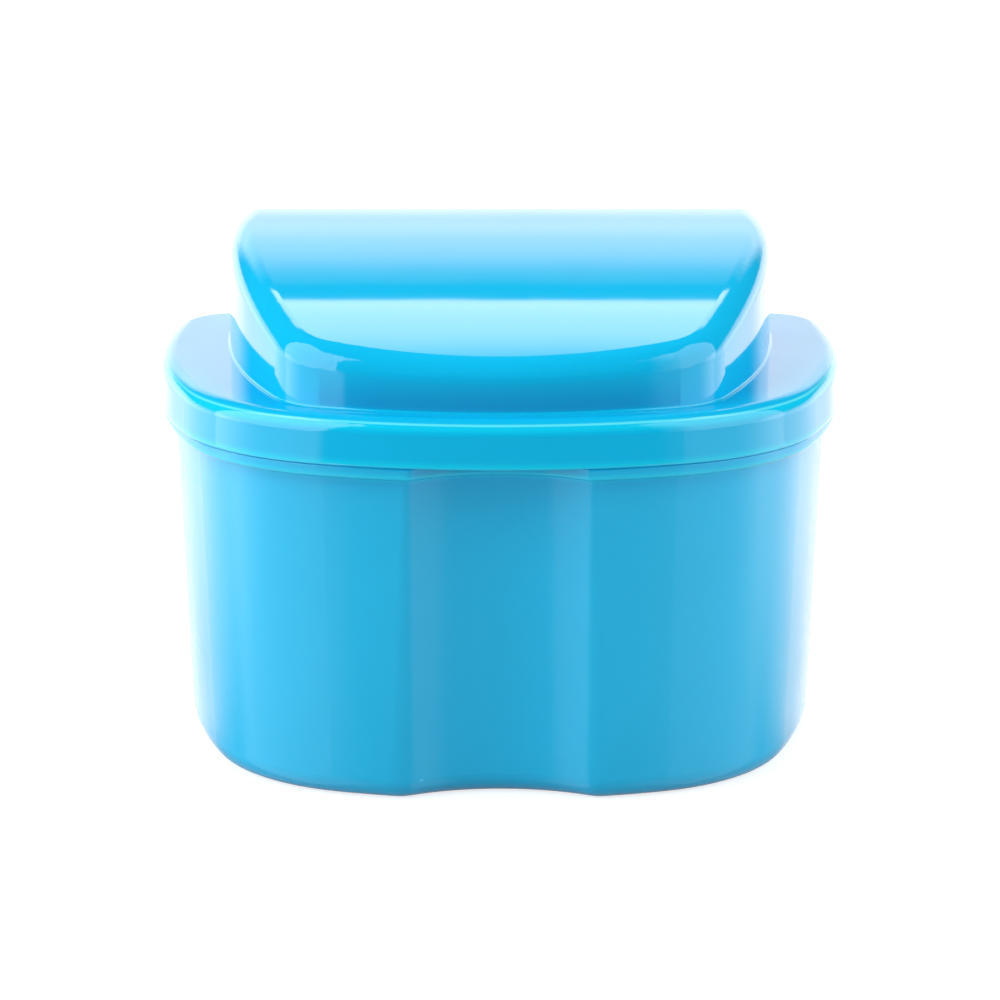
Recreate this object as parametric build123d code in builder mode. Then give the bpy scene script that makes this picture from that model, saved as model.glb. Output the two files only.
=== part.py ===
"""Denture case: a D-shaped soaking cup, a strainer basket that hangs in its rim and a lift-off lid.

Millimetres, +Z up. The case stands on z = 0, its front faces -Y, and x = 0 is its plane of symmetry.
"""

import os
from math import radians, sqrt, tan

from build123d import *

# Plan of the case at the lid's edge, which every piece follows at its own inset
LID_WIDTH = 100.4
LID_DEPTH = 82.0
FRONT_RADIUS = 78.0
SIDE_RADIUS = 110.0
WIDEST_FROM_FRONT = 58.5
FRONT_LAND = 13.05
BACK_CORNER_RADIUS = 9.5

# Shallow dip down the middle of the cup's front
DIP_RADIUS = 20.0
DIP_DEPTH = 5.0
CREASE_RADIUS_TOP = 1.8
CREASE_RADIUS_BOTTOM = 5.5

# Cup; the seam is the height at which the lid rests on its flange
SEAM_Z = 48.5
FLANGE_THICKNESS = 1.9
FLANGE_STEP_IN = 0.5
FLANGE_TOP_ROUND = 0.35
FLANGE_BOTTOM_ROUND = 0.7
WALL_DRAFT = 2.4
WALL_THICKNESS = 1.6
FLOOR_THICKNESS = 2.4
CUP_BOTTOM_ROUND = 3.2
CUP_FLOOR_ROUND = 2.0
FOOT_WIDTH = 6.0
FOOT_RECESS = 0.6

# Neck of the cup, which the lid's skirt slides over, and the ledge inside it for the basket's lip
NECK_HEIGHT = 4.8
NECK_THICKNESS = 1.0
NECK_TOP_ROUND = 0.4
NECK_CLEARANCE = 0.35
GRIP_BAND_HEIGHT = 1.0
GRIP_BAND_ABOVE_SEAM = 1.6
GRIP_BAND_PROUD = 0.15
LEDGE_ABOVE_SEAM = 1.5
LEDGE_WIDTH = 1.2

# Strainer basket
LIP_THICKNESS = 1.2
LIP_CLEARANCE = 0.3
LIP_ROUND = 0.4
BASKET_GAP = 1.2
BASKET_WALL = 1.2
SUMP_DEPTH = 5.6
BASKET_BOTTOM_ROUND = 2.5
BASKET_FLOOR_ROUND = 1.5
FLOOR_SLOT = (9.0, 3.0)
FLOOR_SLOT_PITCH = (8.0, 12.0)
FLOOR_SLOT_MARGIN = (11.0, 7.0)
WALL_SLOT = (11.0, 2.4)
WALL_SLOT_PITCH = 14.0
WALL_SLOT_ROWS = 2
WALL_SLOTS_ABOVE_FLOOR = 18.0
SIDE_SLOTS_FROM_FRONT = (36.0, 43.0, 50.0, 57.0, 64.0)
FRONT_SLOTS_X = (22.0, 29.0)

# Handle that stands up from the basket's back wall into the lid's housing
HANDLE_WIDTH = 36.0
HANDLE_THICKNESS = 2.2
HANDLE_HEADROOM = 4.5
HANDLE_ROOT_DEPTH = 10.0
HANDLE_CORNER_RADIUS = 8.0
HANDLE_EDGE_ROUND = 0.6
HANDLE_CLEARANCE = 0.8
FINGER_HOLE = (22.0, 8.0)
FINGER_HOLE_DROP = 9.0

# Lid
SKIRT_HEIGHT = 6.8
SKIRT_THICKNESS = 1.2
SKIRT_DRAFT = 2.5
SKIRT_TOP_ROUND = 2.3
SKIRT_BOTTOM_ROUND = 0.35
RING_THICKNESS = 1.6
RING_INNER_ROUND = 0.8

# Hollow housing raised on the lid, which slopes down to the front
HOUSING_FRONT_STEP_IN = 4.8
HOUSING_BACK_STEP_IN = 5.5
HOUSING_FRONT_RADIUS = 71.0
HOUSING_SIDE_RADIUS = 140.0
HOUSING_SIDE_STEP_IN = 10.0
HOUSING_WIDEST_FROM_FRONT = 65.0
HOUSING_FRONT_CORNER_RADIUS = 11.0
HOUSING_BACK_CORNER_RADIUS = 4.5
HOUSING_WALL = 1.6
HOUSING_DRAFT = 1.0
HOUSING_TOP_ROUND = 3.7
HOUSING_ROOT_ROUND = 0.35
CREST_ABOVE_RING = 17.3
CREST_FROM_FRONT = 69.0
CREST_RADIUS = 200.0

# Places worked out from the sizes above
FRONT_Y = -LID_DEPTH / 2
BACK_Y = LID_DEPTH / 2
FLANGE_BOTTOM_Z = SEAM_Z - FLANGE_THICKNESS
BASKET_SEAT_Z = SEAM_Z + LEDGE_ABOVE_SEAM
LIP_TOP_Z = BASKET_SEAT_Z + LIP_THICKNESS
BASKET_BOTTOM_Z = FLOOR_THICKNESS + SUMP_DEPTH
BASKET_FLOOR_Z = BASKET_BOTTOM_Z + BASKET_WALL
RING_TOP_Z = SEAM_Z + SKIRT_HEIGHT
RING_UNDERSIDE_Z = RING_TOP_Z - RING_THICKNESS
CREST_Z = RING_TOP_Z + CREST_ABOVE_RING
NECK_INSET = SKIRT_THICKNESS + NECK_CLEARANCE
NECK_BORE_INSET = NECK_INSET + NECK_THICKNESS
LIP_INSET = NECK_BORE_INSET + LIP_CLEARANCE
BASKET_INSET = WALL_THICKNESS + BASKET_GAP
BASKET_CAVITY_INSET = BASKET_INSET + BASKET_WALL
HANDLE_TOP_Z = CREST_Z - HOUSING_WALL - HANDLE_HEADROOM
HANDLE_ROOT_Z = LIP_TOP_Z - HANDLE_ROOT_DEPTH
HANDLE_BACK_Y = BACK_Y - HOUSING_BACK_STEP_IN - HOUSING_WALL - HANDLE_CLEARANCE
HANDLE_FRONT_Y = HANDLE_BACK_Y - HANDLE_THICKNESS


def front_corner_radius():
    """Radius of each rounded front corner at the lid's edge, which starts FRONT_LAND beside the dip."""
    centre_gap = FRONT_RADIUS - DIP_DEPTH + DIP_RADIUS
    dip_chord_y = (DIP_RADIUS ** 2 - FRONT_RADIUS ** 2 + centre_gap ** 2) / (2 * centre_gap)
    start_x = sqrt(DIP_RADIUS ** 2 - dip_chord_y ** 2) + FRONT_LAND
    to_centre = Vector(-start_x, sqrt(FRONT_RADIUS ** 2 - start_x ** 2))
    start = Vector(0, FRONT_Y + FRONT_RADIUS) - to_centre
    from_side_centre = start - Vector(LID_WIDTH / 2 - SIDE_RADIUS, FRONT_Y + WIDEST_FROM_FRONT)
    room = SIDE_RADIUS ** 2 - from_side_centre.dot(from_side_centre)
    return room / (2 * (SIDE_RADIUS + from_side_centre.dot(to_centre) / FRONT_RADIUS))


def corner_radius(radius, inset):
    """Radius of a rounded corner once its outline is drawn further inside; it never closes up."""
    return radius ** 2 / (radius + inset)


def wall_inset(height):
    """How far the cup's drafted outer wall stands inside the lid's edge at a height."""
    inset_at_ledge = NECK_BORE_INSET + LEDGE_WIDTH - WALL_THICKNESS
    return inset_at_ledge + (BASKET_SEAT_Z - height) * tan(radians(WALL_DRAFT))


def crease_radius(height):
    """Rounding of the two creases beside the dip, which soften towards the cup's bottom."""
    share = height / FLANGE_BOTTOM_Z
    return CREASE_RADIUS_BOTTOM + (CREASE_RADIUS_TOP - CREASE_RADIUS_BOTTOM) * share


def draw_d_shape(
    inset, front_y, back_y, half_width, widest_y, front_radius, side_radius, front_corner, back_corner
):
    """Draw a D-shaped outline, `inset` inside the one with these sizes, into the open sketch."""
    with Locations(Location((0, front_y + front_radius, 0), (0, 0, 90))):
        Circle(front_radius - inset)
    for side in (-1, 1):
        with Locations(Location((side * (side_radius - half_width), widest_y, 0), (0, 0, 90))):
            Circle(side_radius - inset, mode=Mode.INTERSECT)
    with Locations((0, back_y - inset)):
        Rectangle(2 * LID_WIDTH, 2 * LID_DEPTH, align=(Align.CENTER, Align.MAX), mode=Mode.INTERSECT)
    fillet(vertices().group_by(Axis.Y)[-1], corner_radius(back_corner, inset))
    fillet(vertices().group_by(Axis.Y)[0], corner_radius(front_corner, inset))


def draw_plan(inset):
    """Draw the case's plan without its dip into the open sketch."""
    draw_d_shape(
        inset,
        front_y=FRONT_Y,
        back_y=BACK_Y,
        half_width=LID_WIDTH / 2,
        widest_y=FRONT_Y + WIDEST_FROM_FRONT,
        front_radius=FRONT_RADIUS,
        side_radius=SIDE_RADIUS,
        front_corner=front_corner_radius(),
        back_corner=BACK_CORNER_RADIUS,
    )


def draw_dipped_plan(inset, crease):
    """Draw the plan with the dip in its front, its two creases rounded, into the open sketch."""
    draw_plan(inset)
    with Locations((0, FRONT_Y + DIP_DEPTH - DIP_RADIUS)):
        Circle(DIP_RADIUS + inset, mode=Mode.SUBTRACT)
    fillet(vertices().sort_by(lambda corner: abs(corner.X))[:2], crease)


def tapered_block(bottom_z, top_z, inset, bottom_round):
    """Solid that follows the cup's drafted wall between two heights, `inset` inside its face."""
    with BuildPart() as block:
        for height in (bottom_z, top_z):
            with BuildSketch(Plane.XY.offset(height)):
                draw_dipped_plan(wall_inset(height) + inset, crease_radius(height))
        loft(ruled=True)
        fillet(block.faces().sort_by(Axis.Z)[0].edges(), bottom_round)
    return block.part


def housing_block(wall, base_z, top_round):
    """Solid under the housing's sloping top, `wall` inside its outer faces."""
    crest_centre = (FRONT_Y + CREST_FROM_FRONT, CREST_Z - CREST_RADIUS)
    with BuildPart() as block:
        for height in (base_z, CREST_Z):
            inset = wall + (height - RING_TOP_Z) * tan(radians(HOUSING_DRAFT))
            with BuildSketch(Plane.XY.offset(height)):
                draw_d_shape(
                    inset,
                    front_y=FRONT_Y + HOUSING_FRONT_STEP_IN,
                    back_y=BACK_Y - HOUSING_BACK_STEP_IN,
                    half_width=LID_WIDTH / 2 - HOUSING_SIDE_STEP_IN,
                    widest_y=FRONT_Y + HOUSING_WIDEST_FROM_FRONT,
                    front_radius=HOUSING_FRONT_RADIUS,
                    side_radius=HOUSING_SIDE_RADIUS,
                    front_corner=HOUSING_FRONT_CORNER_RADIUS,
                    back_corner=HOUSING_BACK_CORNER_RADIUS,
                )
        loft(ruled=True)
        with BuildSketch(Plane.YZ):
            with Locations(Location((*crest_centre, 0), (0, 0, -90))):
                Circle(CREST_RADIUS - wall)
        extrude(amount=LID_WIDTH, both=True, mode=Mode.INTERSECT)
        sloping_top = block.faces().filter_by(GeomType.CYLINDER).sort_by(SortBy.AREA)[-1]
        fillet(sloping_top.edges(), top_round)
    return block.part


def wall_slots(plane, places):
    """Rows of upright drain slots for two opposite walls of the basket, at places across a plane."""
    with BuildSketch(plane) as slots:
        for place in places:
            with Locations((place, BASKET_FLOOR_Z + WALL_SLOTS_ABOVE_FLOOR)):
                with GridLocations(0, WALL_SLOT_PITCH, 1, WALL_SLOT_ROWS):
                    SlotOverall(*WALL_SLOT, rotation=90)
    return slots.sketch


# Soaking cup: drafted wall on a ring foot, flange, and a neck with an inner ledge for the basket's lip
cup_cavity = tapered_block(FLOOR_THICKNESS, BASKET_SEAT_Z, WALL_THICKNESS, CUP_FLOOR_ROUND)

with BuildPart() as flange:
    with BuildSketch(Plane.XY.offset(FLANGE_BOTTOM_Z)):
        draw_dipped_plan(FLANGE_STEP_IN, CREASE_RADIUS_TOP)
    extrude(amount=FLANGE_THICKNESS)
    fillet(flange.faces().sort_by(Axis.Z)[0].edges(), FLANGE_BOTTOM_ROUND)
    fillet(flange.faces().sort_by(Axis.Z)[-1].edges(), FLANGE_TOP_ROUND)

with BuildPart() as container:
    add(tapered_block(0, FLANGE_BOTTOM_Z, 0, CUP_BOTTOM_ROUND))
    with BuildSketch():
        draw_dipped_plan(wall_inset(0) + FOOT_WIDTH, CREASE_RADIUS_BOTTOM)
    extrude(amount=FOOT_RECESS, mode=Mode.SUBTRACT)
    add(flange.part)
    with BuildSketch(Plane.XY.offset(SEAM_Z)):
        draw_dipped_plan(NECK_INSET, CREASE_RADIUS_TOP)
    extrude(amount=NECK_HEIGHT)
    fillet(container.faces().sort_by(Axis.Z)[-1].edges(), NECK_TOP_ROUND)
    with BuildSketch(Plane.XY.offset(SEAM_Z + GRIP_BAND_ABOVE_SEAM)):
        draw_dipped_plan(NECK_INSET - GRIP_BAND_PROUD, CREASE_RADIUS_TOP)
    extrude(amount=GRIP_BAND_HEIGHT)
    add(cup_cavity, mode=Mode.SUBTRACT)
    with BuildSketch(Plane.XY.offset(BASKET_SEAT_Z)):
        draw_dipped_plan(NECK_BORE_INSET, CREASE_RADIUS_TOP)
    extrude(amount=NECK_HEIGHT, mode=Mode.SUBTRACT)
container.part.label = "container"


# Strainer basket: slotted tray with a flat lip, and a finger-hole handle on its back wall
basket_cavity = tapered_block(BASKET_FLOOR_Z, LIP_TOP_Z, BASKET_CAVITY_INSET, BASKET_FLOOR_ROUND)
handle_root_y = BACK_Y - wall_inset(HANDLE_ROOT_Z) - BASKET_INSET - BASKET_WALL / 2
floor_edge_inset = wall_inset(BASKET_FLOOR_Z) + BASKET_CAVITY_INSET
slotted_width = LID_WIDTH - 2 * (floor_edge_inset + FLOOR_SLOT_MARGIN[0])
slotted_depth = LID_DEPTH - DIP_DEPTH - 2 * (floor_edge_inset + FLOOR_SLOT_MARGIN[1])
slot_columns = int((slotted_width - FLOOR_SLOT[1]) // FLOOR_SLOT_PITCH[0]) + 1
slot_rows = int((slotted_depth - FLOOR_SLOT[0]) // FLOOR_SLOT_PITCH[1]) + 1

with BuildPart() as handle:
    with BuildSketch(Plane.XZ.offset(-HANDLE_FRONT_Y)):
        with Locations((0, HANDLE_ROOT_Z)):
            Rectangle(HANDLE_WIDTH, HANDLE_TOP_Z - HANDLE_ROOT_Z, align=(Align.CENTER, Align.MIN))
        fillet(vertices().group_by(Axis.Z)[-1], HANDLE_CORNER_RADIUS)
        with Locations((0, HANDLE_TOP_Z - FINGER_HOLE_DROP)):
            SlotOverall(*FINGER_HOLE, mode=Mode.SUBTRACT)
    extrude(amount=-HANDLE_THICKNESS)
    fillet(handle.faces().filter_by(Axis.Y).edges(), HANDLE_EDGE_ROUND)

with BuildPart() as handle_root:
    with BuildSketch(Plane.XZ.offset(-HANDLE_FRONT_Y - HANDLE_EDGE_ROUND)):
        with Locations((0, HANDLE_ROOT_Z + HANDLE_EDGE_ROUND)):
            Rectangle(
                HANDLE_WIDTH - 2 * HANDLE_EDGE_ROUND,
                LIP_TOP_Z - HANDLE_ROOT_Z - HANDLE_EDGE_ROUND,
                align=(Align.CENTER, Align.MIN),
            )
    extrude(amount=HANDLE_FRONT_Y + HANDLE_EDGE_ROUND - handle_root_y)

with BuildPart() as strainer_basket:
    add(tapered_block(BASKET_BOTTOM_Z, BASKET_SEAT_Z, BASKET_INSET, BASKET_BOTTOM_ROUND))
    with BuildSketch(Plane.XY.offset(BASKET_SEAT_Z)):
        draw_dipped_plan(LIP_INSET, CREASE_RADIUS_TOP)
    extrude(amount=LIP_THICKNESS)
    fillet(strainer_basket.faces().sort_by(Axis.Z)[-1].edges(), LIP_ROUND)
    add(basket_cavity, mode=Mode.SUBTRACT)
    with BuildSketch(Plane.XY.offset(BASKET_BOTTOM_Z)):
        with Locations((0, DIP_DEPTH / 2)):
            with GridLocations(*FLOOR_SLOT_PITCH, slot_columns, slot_rows):
                SlotOverall(*FLOOR_SLOT, rotation=90)
    extrude(amount=BASKET_WALL, mode=Mode.SUBTRACT)
    side_slots = wall_slots(Plane.YZ, [FRONT_Y + from_front for from_front in SIDE_SLOTS_FROM_FRONT])
    extrude(side_slots, amount=LID_WIDTH, both=True, mode=Mode.SUBTRACT)
    front_slots = wall_slots(Plane.XZ, [side * slot_x for side in (-1, 1) for slot_x in FRONT_SLOTS_X])
    extrude(front_slots, amount=LID_DEPTH, both=True, mode=Mode.SUBTRACT)
    add(handle.part)
    add(handle_root.part)
strainer_basket.part.label = "strainer_basket"


# Lid: skirt over the neck, a flat ring, and the hollow housing
with BuildPart() as skirt_cavity:
    with BuildSketch(Plane.XY.offset(SEAM_Z)):
        draw_plan(SKIRT_THICKNESS)
    extrude(amount=RING_UNDERSIDE_Z - SEAM_Z)
    fillet(skirt_cavity.faces().sort_by(Axis.Z)[-1].edges(), RING_INNER_ROUND)

with BuildPart() as lid:
    for height in (SEAM_Z, RING_TOP_Z):
        with BuildSketch(Plane.XY.offset(height)):
            draw_plan((height - SEAM_Z) * tan(radians(SKIRT_DRAFT)))
    loft(ruled=True)
    fillet(lid.faces().sort_by(Axis.Z)[0].edges(), SKIRT_BOTTOM_ROUND)
    fillet(lid.faces().sort_by(Axis.Z)[-1].edges(), SKIRT_TOP_ROUND)
    add(housing_block(0, RING_TOP_Z, HOUSING_TOP_ROUND))
    ring_top = lid.faces().filter_by(Axis.Z).sort_by(Axis.Z)[-1]
    fillet(ring_top.inner_wires()[0].edges(), HOUSING_ROOT_ROUND)
    add(skirt_cavity.part, mode=Mode.SUBTRACT)
    add(housing_block(HOUSING_WALL, RING_UNDERSIDE_Z, HOUSING_TOP_ROUND - HOUSING_WALL), mode=Mode.SUBTRACT)
lid.part.label = "lid"


os.makedirs("parts", exist_ok=True)
for piece in (container, strainer_basket, lid):
    export_step(piece.part, f"parts/{piece.part.label}.step")
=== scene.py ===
"""Dresses the denture case: finishes for its three mouldings, a white set, soft lights and the camera."""

from math import cos, pi, radians, sin, tan

import bpy
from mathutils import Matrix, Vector

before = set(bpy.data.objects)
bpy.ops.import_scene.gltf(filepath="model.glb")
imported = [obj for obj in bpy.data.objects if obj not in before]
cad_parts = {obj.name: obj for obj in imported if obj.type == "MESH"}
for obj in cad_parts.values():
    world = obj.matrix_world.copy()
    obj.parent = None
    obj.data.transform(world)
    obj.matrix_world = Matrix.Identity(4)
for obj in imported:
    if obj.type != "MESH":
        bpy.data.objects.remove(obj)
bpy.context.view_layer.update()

# Camera, straight in front of the case and a little above it, framed for a square picture
CAMERA_TARGET = Vector((0, -0.026, 0.041))
CAMERA_ELEVATION = radians(13.2)
CAMERA_DISTANCE = 0.600
CAMERA_LENS = 155.07
SENSOR_WIDTH = 36.0
CLIP_START = 0.01
CLIP_END = 50.0

# World, as radiance, where 1 is the white of the background; elevations and azimuths in degrees.
# A glow is a row of (elevation, share of its peak) stops. Azimuths count from straight behind.
DEGREES = 180 / pi
WHITE = (1.0, 1.0, 1.0, 1)
GLOW_TOP = 60.0
BACKDROP_PEAK = 1.76
BACKDROP_GLOW = (
    (-4, 1.0), (8.5, 1.0), (11, 0.84), (13, 0.78), (15, 0.88), (17.5, 0.9), (19.5, 0.8),
    (22, 0.75), (25, 0.67), (27, 0.53), (29.5, 0.27), (32, 0.12), (33, 0.0),
)
BACKDROP_EDGE = (17.0, 28.0)
STRIP_PEAK = 3.6
STRIP_GLOW = (
    (35.9, 0.0), (36.5, 1.0), (37.5, 1.0), (39, 0.92), (43, 0.84), (44.5, 0.7), (46, 0.5), (49, 0.0),
)
STRIP_EDGE = (12.0, 20.0)
LOW_BAND = 1.7
LOW_BAND_EDGE = (4.0, 9.0)
LOW_BAND_SIDES = (80.0, 100.0)

# Dim room around the backdrop; outside reflections it is brighter above and behind the case
ROOM = 0.05
ROOM_ABOVE = 1.3
ROOM_ABOVE_WAY = (0.0, 0.66, 0.75)
ROOM_ABOVE_EDGE = (0.6, 1.0)
ROOM_IN_GLOSS = 0.04

# Tint of the world and the floor in reflections
GLOSS_TINT = (1.0, 0.84, 0.77, 1)

# Two tall soft boxes beside the case; azimuths count from the front, and each front edge fades in
SIDE_BOX_X = 1.4
SIDE_BOX_BACK = 105.0
SIDE_BOX_HEIGHT = 3.0
LEFT_BOX = {"side": -1, "radiance": 2.85, "front_edge": (36.5, 37.5)}
RIGHT_BOX = {"side": 1, "radiance": 2.1, "front_edge": (34.5, 46.0)}

# Floor; in reflections it is dim in front of the case, bright beside and behind it, and part mirror.
# Reaches are metres from the middle of the case, and azimuths count from the front.
FLOOR_HALF = 12.0
FLOOR_ALBEDO = (0.5, 0.5, 0.5, 1)
FLOOR_SEEN = 0.75
FLOOR_MIRROR = (0.4, 0.4, 0.4, 1)
FLOOR_MIRROR_ROUGHNESS = 0.0
FLOOR_FRONT = (0.48, 0.08)
FLOOR_FRONT_REACH = (0.15, 0.42)
FLOOR_BESIDE = (1.3, 2.1)
FLOOR_BESIDE_REACH = (0.06, 0.19)
FLOOR_BESIDE_FROM = (66.0, 100.0)
FLOOR_BEHIND_SHARE = 0.5
FLOOR_BEHIND_FROM = (125.0, 165.0)

# Plastic: colours, and the gloss of each piece
CYAN = (0.004, 0.54, 0.91)
# Painted shade: a darker cyan painted low on the front of the lid's housing
PAINTED_SHADE_CYAN = (0.003, 0.35, 0.66)
# Painted highlight: a brighter cyan painted in bands along the edges
PAINTED_HIGHLIGHT_CYAN = (0.004, 0.72, 1.0)
# Painted highlight: a pale cyan painted as a thin line along the lid's rim
PAINTED_RIM_CYAN = (0.12, 0.84, 1.0)
MILKY = (0.80, 0.84, 0.86)
CUP_ROUGHNESS = 0.23
BASKET_ROUGHNESS = 0.35
LID_ROUGHNESS = 0.05
SPECULAR = 0.5

# Plastic: unevenness, as noises with scales per metre and the shares that each swings between
BROAD_NOISE = {"Scale": 25.0, "Detail": 2.0}
FINE_NOISE = {"Scale": 900.0, "Detail": 3.0}
NOISE_SPAN = (0.3, 0.7)
TONE_SHARES = (0.97, 1.03)
ROUGHNESS_SHARES = (0.85, 1.15)
WAVINESS = {"Strength": 0.1, "Distance": 0.001}

# Plastic: where painted highlights and painted shade go, as heights above the stand and reaches in
# metres; a painted highlight band is a (height, reach) pair, and the painted rim highlight is full up to
# the first reach and gone at the second
lid_corners = [Vector(corner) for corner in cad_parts["lid"].bound_box]
SEAM_HEIGHT = min(corner.z for corner in lid_corners)
RIM_HEIGHT = SEAM_HEIGHT + 0.0061
FLANGE_HEIGHT = SEAM_HEIGHT - 0.0018
# Painted highlights: bands along the flange, seam and rim edges
CUP_PAINTED_HIGHLIGHTS = ((FLANGE_HEIGHT, 0.0011),)
LID_PAINTED_HIGHLIGHTS = ((SEAM_HEIGHT, 0.0014), (RIM_HEIGHT, 0.0016))
# Painted rim highlight: a thin pale line at the rim height
RIM_HIGHLIGHT_REACH = (0.00006, 0.00020)
RIM_HIGHLIGHT_SHARE = 0.95
# Painted shade: heights where the shade on the housing's front is full and where it is gone
PAINTED_SHADE_HEIGHTS = (RIM_HEIGHT + 0.0018, RIM_HEIGHT + 0.0072)

# Plastic: how level a wall may be for a painted highlight, as the normal's |Z|, and how far the front
# must face -Y for the painted shade
WALL_LEVELNESS = (0.4, 0.85)
FRONT_FACING = (0.91, 0.975)


class Nodes:
    """Short calls for building a node tree."""

    def __init__(self, tree):
        self.tree = tree
        tree.nodes.clear()

    def add(self, kind, inputs=None, **settings):
        """Add a node; an input is linked where its value is a socket, and set where it is plain."""
        node = self.tree.nodes.new(kind)
        for name, value in settings.items():
            setattr(node, name, value)
        for name, value in (inputs or {}).items():
            if isinstance(value, bpy.types.NodeSocket):
                self.tree.links.new(value, node.inputs[name])
            else:
                node.inputs[name].default_value = value
        return node

    def math(self, operation, *values):
        return self.add("ShaderNodeMath", dict(enumerate(values)), operation=operation).outputs[0]

    def split(self, vector):
        """X, Y and Z of a vector."""
        outputs = self.add("ShaderNodeSeparateXYZ", {"Vector": vector}).outputs
        return outputs["X"], outputs["Y"], outputs["Z"]

    def span(self, value, low, high, to_low=0.0, to_high=1.0, smooth=False):
        """Level that goes from to_low to to_high while the value goes from low to high."""
        kind = "SMOOTHSTEP" if smooth else "LINEAR"
        inputs = {"Value": value, "From Min": low, "From Max": high, "To Min": to_low, "To Max": to_high}
        return self.add("ShaderNodeMapRange", inputs, interpolation_type=kind).outputs["Result"]

    def band(self, value, middle, near, far, share):
        """Level that is the share up to near from the middle, and falls to none at far."""
        off_middle = self.math("ABSOLUTE", self.math("SUBTRACT", value, middle))
        return self.span(off_middle, near, far, share, 0, smooth=True)

    def mix(self, factor, first, second):
        """Mix two numbers."""
        inputs = {"Factor": factor, "A": first, "B": second}
        return self.add("ShaderNodeMix", inputs, data_type="FLOAT").outputs["Result"]

    def blend(self, factor, first, second):
        """Mix two colours; the node takes them as inputs 6 and 7 and gives the result as output 2."""
        return self.add("ShaderNodeMix", {0: factor, 6: first, 7: second}, data_type="RGBA").outputs[2]

    def both(self, first, second):
        """Add two shaders."""
        return self.add("ShaderNodeAddShader", {0: first.outputs[0], 1: second.outputs[0]})

    def by_elevation(self, elevation, glow, peak):
        """Level that follows a glow's stops."""
        node = self.add("ShaderNodeValToRGB", {"Fac": self.math("DIVIDE", elevation, GLOW_TOP)})
        elements = node.color_ramp.elements
        elements.remove(elements[-1])
        for index, (degrees, share) in enumerate(glow):
            place = max(degrees, 0) / GLOW_TOP
            stop = elements[0] if index == 0 else elements.new(place)
            stop.position = place
            stop.color = (share, share, share, 1)
        return self.math("MULTIPLY", node.outputs["Color"], peak)


def opaque(color):
    return (*color, 1)


def add_object(name, data):
    added = bpy.data.objects.new(name, data)
    bpy.context.scene.collection.objects.link(added)
    return added


def make_camera():
    data = bpy.data.cameras.new("camera")
    data.lens = CAMERA_LENS
    data.sensor_width = SENSOR_WIDTH
    data.clip_start = CLIP_START
    data.clip_end = CLIP_END
    camera = add_object("camera", data)
    to_camera = Vector((0, -cos(CAMERA_ELEVATION), sin(CAMERA_ELEVATION)))
    camera.location = CAMERA_TARGET + CAMERA_DISTANCE * to_camera
    camera.rotation_euler = (-to_camera).to_track_quat("-Z", "Y").to_euler()
    return camera


def make_world():
    """White to the camera; as light and in reflections, a backdrop that glows low behind the case."""
    world = bpy.data.worlds.new("backdrop")
    world.use_nodes = True
    n = Nodes(world.node_tree)
    ray = n.add("ShaderNodeTexCoord").outputs["Generated"]
    x, y, z = n.split(ray)
    elevation = n.math("MULTIPLY", n.math("ARCSINE", z), DEGREES)
    off_back = n.math("ABSOLUTE", n.math("MULTIPLY", n.math("ARCTAN2", x, y), DEGREES))

    backdrop = n.by_elevation(elevation, BACKDROP_GLOW, BACKDROP_PEAK)
    backdrop = n.math("MULTIPLY", backdrop, n.span(off_back, *BACKDROP_EDGE, 1, 0, smooth=True))
    strip = n.by_elevation(elevation, STRIP_GLOW, STRIP_PEAK)
    strip = n.math("MULTIPLY", strip, n.span(off_back, *STRIP_EDGE, 1, 0, smooth=True))
    low_band = n.span(elevation, *LOW_BAND_EDGE, LOW_BAND, 0, smooth=True)
    low_band = n.math("MULTIPLY", low_band, n.span(off_back, *LOW_BAND_SIDES, 1, 0, smooth=True))
    lit = n.math("MAXIMUM", n.math("MAXIMUM", backdrop, low_band), strip)

    path = n.add("ShaderNodeLightPath").outputs
    along_way = n.add("ShaderNodeVectorMath", {0: ray, 1: ROOM_ABOVE_WAY}, operation="DOT_PRODUCT")
    above = n.span(along_way.outputs["Value"], *ROOM_ABOVE_EDGE, ROOM, ROOM_ABOVE, smooth=True)
    room = n.mix(path["Is Glossy Ray"], above, ROOM_IN_GLOSS)
    white = n.math("MAXIMUM", path["Is Camera Ray"], path["Is Transmission Ray"])
    strength = n.mix(white, n.math("ADD", lit, room), 1.0)
    tint = n.blend(path["Is Glossy Ray"], WHITE, GLOSS_TINT)
    background = n.add("ShaderNodeBackground", {"Color": tint, "Strength": strength})
    n.add("ShaderNodeOutputWorld", {"Surface": background.outputs[0]})
    return world


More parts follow.
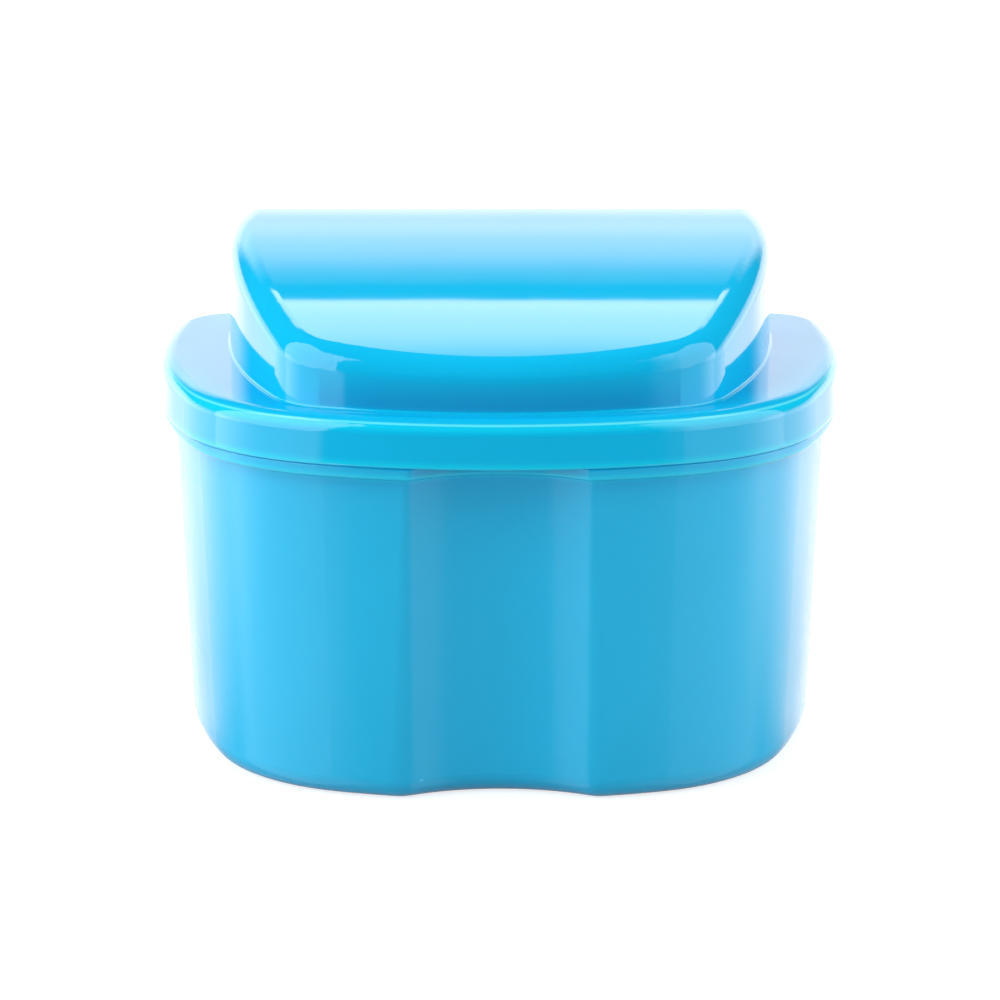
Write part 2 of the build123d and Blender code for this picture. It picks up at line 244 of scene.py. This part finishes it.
def make_floor():
    """White to the camera, with the shadow on it; in reflections, levels by place and a mirror."""
    mesh = bpy.data.meshes.new("floor")
    corners = [(FLOOR_HALF * x, FLOOR_HALF * y, 0) for x, y in ((-1, -1), (1, -1), (1, 1), (-1, 1))]
    mesh.from_pydata(corners, [], [(0, 1, 2, 3)])
    finish = bpy.data.materials.new("floor")
    finish.use_nodes = True
    n = Nodes(finish.node_tree)
    path = n.add("ShaderNodeLightPath").outputs
    x, y, _ = n.split(n.add("ShaderNodeNewGeometry").outputs["Position"])
    reach = n.math("SQRT", n.math("ADD", n.math("POWER", x, 2), n.math("POWER", y, 2)))
    off_front = n.math("ARCTAN2", n.math("ABSOLUTE", x), n.math("MULTIPLY", y, -1))
    off_front = n.math("MULTIPLY", off_front, DEGREES)

    front = n.span(reach, *FLOOR_FRONT_REACH, *FLOOR_FRONT, smooth=True)
    beside = n.span(reach, *FLOOR_BESIDE_REACH, *FLOOR_BESIDE, smooth=True)
    behind = n.span(off_front, *FLOOR_BEHIND_FROM, 1, FLOOR_BEHIND_SHARE, smooth=True)
    from_front = n.span(off_front, *FLOOR_BESIDE_FROM, smooth=True)
    in_gloss = n.mix(from_front, front, n.math("MULTIPLY", beside, behind))
    mirrored = n.both(
        n.add("ShaderNodeEmission", {"Color": GLOSS_TINT, "Strength": in_gloss}),
        n.add("ShaderNodeBsdfGlossy", {"Color": FLOOR_MIRROR, "Roughness": FLOOR_MIRROR_ROUGHNESS}),
    )
    seen = n.math("MAXIMUM", path["Is Camera Ray"], path["Is Transmission Ray"])
    plain = n.both(
        n.add("ShaderNodeEmission", {"Color": WHITE, "Strength": n.math("MULTIPLY", seen, FLOOR_SEEN)}),
        n.add("ShaderNodeBsdfDiffuse", {"Color": FLOOR_ALBEDO}),
    )
    surfaces = {"Fac": path["Is Glossy Ray"], 1: plain.outputs[0], 2: mirrored.outputs[0]}
    surface = n.add("ShaderNodeMixShader", surfaces)
    n.add("ShaderNodeOutputMaterial", {"Surface": surface.outputs[0]})
    mesh.materials.append(finish)
    return add_object("floor", mesh)


def add_side_box(side, radiance, front_edge):
    """Tall soft box beside the case, which fades in between two azimuths at its front edge."""
    start_y, full_y = (-SIDE_BOX_X / tan(radians(azimuth)) for azimuth in front_edge)
    back_y = -SIDE_BOX_X / tan(radians(SIDE_BOX_BACK))
    depth = back_y - start_y
    lamp = bpy.data.lights.new("side_box", "AREA")
    lamp.shape = "RECTANGLE"
    lamp.size = depth
    lamp.size_y = SIDE_BOX_HEIGHT
    lamp.energy = radiance * pi * depth * SIDE_BOX_HEIGHT
    lamp.use_nodes = True
    n = Nodes(lamp.node_tree)
    along, _, _ = n.split(n.add("ShaderNodeNewGeometry").outputs["Parametric"])
    from_front = n.span(along, 0, 1) if side > 0 else n.span(along, 0, 1, 1, 0)
    strength = n.span(from_front, 0, (full_y - start_y) / depth)
    emission = n.add("ShaderNodeEmission", {"Strength": strength})
    n.add("ShaderNodeOutputLight", {"Surface": emission.outputs[0]})
    box = add_object("side_box", lamp)
    box.location = (side * SIDE_BOX_X, (start_y + back_y) / 2, SIDE_BOX_HEIGHT / 2)
    box.rotation_euler = Vector((side, 0, 0)).to_track_quat("Z", "Y").to_euler()
    box.visible_camera = False


def finish_plastic(name, color, roughness, painted_highlights=(), painted_rim_highlight=False, painted_foot_shade=False):
    """Moulded plastic: faint waviness, uneven gloss, slightly uneven tone and painted highlights at the
    edges.

    A painted highlight is a brighter band painted around the walls where edges catch light. The painted
    rim highlight is a thin pale line on the rim, and the painted foot shade is a darker tone painted low
    on the front of the lid's housing, where shade falls.
    """
    material = bpy.data.materials.new(name)
    material.use_nodes = True
    n = Nodes(material.node_tree)
    coordinates = n.add("ShaderNodeTexCoord").outputs
    where = coordinates["Object"]
    _, _, height = n.split(where)
    _, toward_back, upward = n.split(coordinates["Normal"])
    on_wall = n.span(n.math("ABSOLUTE", upward), *WALL_LEVELNESS, 1, 0, smooth=True)
    broad = n.add("ShaderNodeTexNoise", {"Vector": where, **BROAD_NOISE}).outputs["Fac"]
    fine = n.add("ShaderNodeTexNoise", {"Vector": where, **FINE_NOISE}).outputs["Fac"]
    rough = n.span(fine, *NOISE_SPAN, *[roughness * share for share in ROUGHNESS_SHARES])
    bump = n.add("ShaderNodeBump", {"Height": broad, **WAVINESS})

    darker, lighter = (opaque(share * part for part in color) for share in TONE_SHARES)
    base = n.blend(n.span(broad, *NOISE_SPAN), darker, lighter)
    # Painted shade: darker low on the front of the housing, where shade falls
    if painted_foot_shade:
        on_front = n.span(n.math("MULTIPLY", toward_back, -1), *FRONT_FACING, smooth=True)
        low = n.span(height, *PAINTED_SHADE_HEIGHTS, n.math("GREATER_THAN", height, RIM_HEIGHT), 0, smooth=True)
        base = n.blend(n.math("MULTIPLY", low, on_front), base, opaque(PAINTED_SHADE_CYAN))
    # Painted highlights: brighter bands on the walls along the edges
    for edge, reach in painted_highlights:
        near = n.math("MULTIPLY", n.band(height, edge, 0, reach, 1), on_wall)
        base = n.blend(near, base, opaque(PAINTED_HIGHLIGHT_CYAN))
    # Painted highlight: a thin pale line along the rim
    if painted_rim_highlight:
        base = n.blend(n.band(height, RIM_HEIGHT, *RIM_HIGHLIGHT_REACH, RIM_HIGHLIGHT_SHARE), base, opaque(PAINTED_RIM_CYAN))
    shader = n.add("ShaderNodeBsdfPrincipled", {
        "Base Color": base, "Roughness": rough, "Specular IOR Level": SPECULAR, "Normal": bump.outputs[0],
    })
    n.add("ShaderNodeOutputMaterial", {"Surface": shader.outputs[0]})
    return material


scene = bpy.context.scene
scene.view_settings.view_transform = "Standard"
scene.camera = make_camera()
scene.world = make_world()
floor = make_floor()
add_side_box(**LEFT_BOX)
add_side_box(**RIGHT_BOX)

finishes = {
    "container": finish_plastic("cup_plastic", CYAN, CUP_ROUGHNESS, CUP_PAINTED_HIGHLIGHTS),
    "strainer_basket": finish_plastic("basket_plastic", MILKY, BASKET_ROUGHNESS),
    "lid": finish_plastic("lid_plastic", CYAN, LID_ROUGHNESS, LID_PAINTED_HIGHLIGHTS, painted_rim_highlight=True, painted_foot_shade=True),
}
for node, material in finishes.items():
    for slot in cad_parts[node].material_slots:
        slot.material = material
